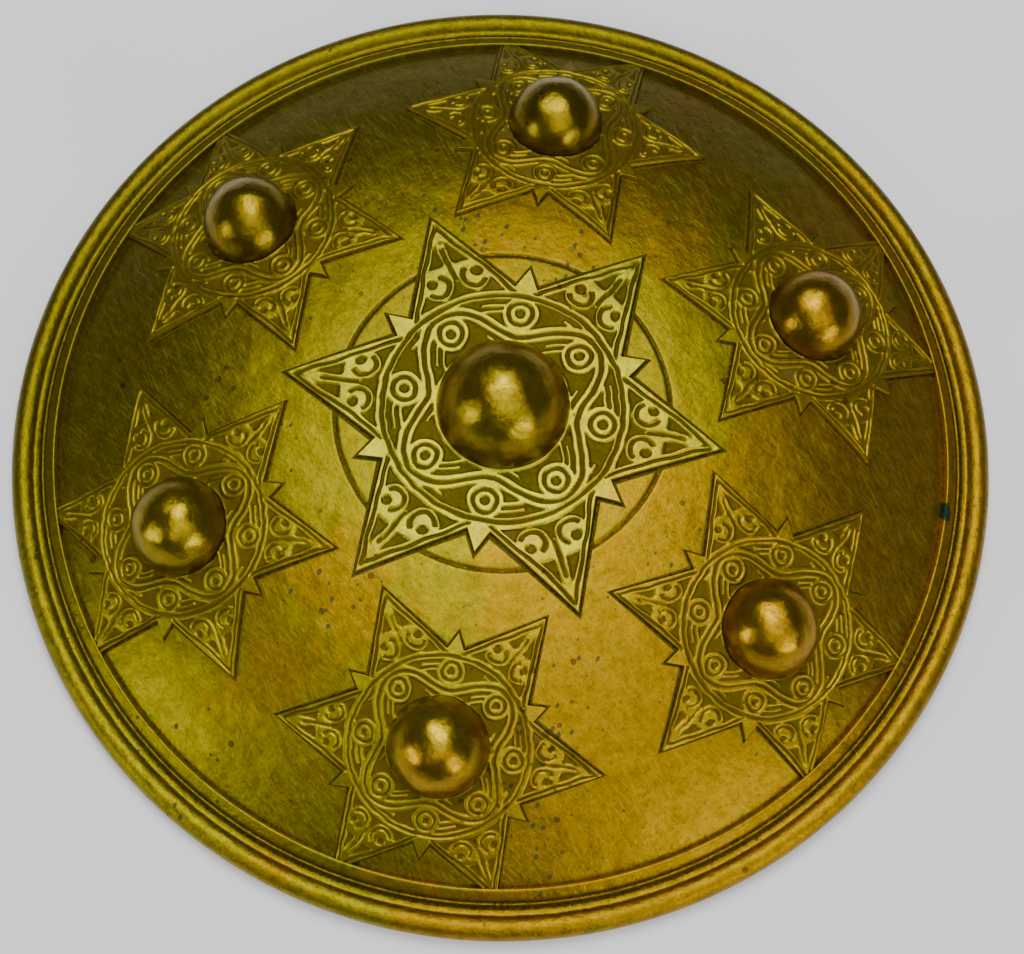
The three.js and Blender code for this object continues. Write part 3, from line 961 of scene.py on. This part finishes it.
def finish_body():
    """Give the cut body its normals, tone and brass, and let it ride."""
    body = cut_body()
    mesh = body.data
    mesh.shade_smooth()
    mesh.set_sharp_from_angle(angle=math.radians(BODY_SHARP_DEG))
    points = np.empty(len(mesh.vertices) * 3)
    mesh.vertices.foreach_get("co", points)
    points = points.reshape(-1, 3) / MM
    # The body's tone is painted shade in its grooves, at the dome's foot and in the turned circle.
    store_tone(mesh, rim_groove_shade(np.hypot(points[:, 0], points[:, 1]), points[:, 2]))
    mesh.materials.clear()
    mesh.materials.append(BODY_BRASS)
    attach(body, "root")
    print(body.name, "triangles", triangles(body))
    return body


body = finish_body()
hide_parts("shield_casting")

# %% Build the stars and bosses
for number, (name, seat, star) in enumerate(star_seats()):
    middle = name == "centre"
    grid, brass_used = (CENTRE_GRID, WORN_BRASS) if middle else (OUTER_GRID, SOFT_BRASS)
    build_star(name, seat, star, *grid, brass_used)
    boss = build_boss(name, seat, star, number)
print("boss triangles", triangles(boss))

# %% [markdown]
# ## Strap lugs
# Four small tabs with an eye stand on the back, cast with the shield. Each is a band between the
# round eye and the tab's outline, closed on itself like a ring, so its section can be bevelled.

# %% Build the lugs
LUG_SPREAD = 34.0
LUG_SPACING = 44.0
LUG_WIDTH = 15.0
LUG_THICKNESS = 4.0
LUG_DROP = 14.0
LUG_EYE_RADIUS = 4.0
LUG_BEVEL = 0.5
LUG_SIDES = 96
LUG_TONE = 0.7
LUG_SHARP_DEG = 40


def build_lug(name, x, y):
    """For each direction round the eye, a bevelled box section from the eye to the outline."""
    ceiling = dome_height(math.hypot(x, y)) - WALL
    half = LUG_WIDTH / 2
    middle = ceiling - LUG_DROP + half
    reach = ceiling + WALL / 2 - middle
    angle = np.linspace(0, 2 * np.pi, LUG_SIDES, endpoint=False)
    cosine, sine = np.cos(angle), np.sin(angle)
    box = np.minimum(half / np.maximum(np.abs(cosine), 1e-6), reach / np.maximum(sine, 1e-6))
    outline = np.where(sine < 0, half, box)
    thick, bevel = LUG_THICKNESS / 2, LUG_BEVEL
    section = ((0, -thick + bevel, 0), (0, thick - bevel, 0), (bevel, thick, 0), (-bevel, thick, 1),
               (0, thick - bevel, 1), (0, -thick + bevel, 1), (-bevel, -thick, 1), (bevel, -thick, 0))
    rows = []
    for inward, side, at_outline in section:
        radius = np.where(at_outline, outline, LUG_EYE_RADIUS) + inward
        rows.append(np.stack([np.full_like(angle, x + side), y + radius * cosine,
                              middle + radius * sine], -1))
    points = np.stack(rows)
    faces = grid_faces(len(rows), len(angle), wrap_rows=True).tolist()
    tone = np.full(points.shape[:2], LUG_TONE)
    return make_piece(name, points, faces, tone, BODY_BRASS, sharp_deg=LUG_SHARP_DEG)


for count, (side, end) in enumerate(((-1, -1), (-1, 1), (1, -1), (1, 1)), 1):
    lug = build_lug(f"strap_lug_{count}", side * LUG_SPREAD, end * LUG_SPACING / 2)
print("lug triangles", triangles(lug))
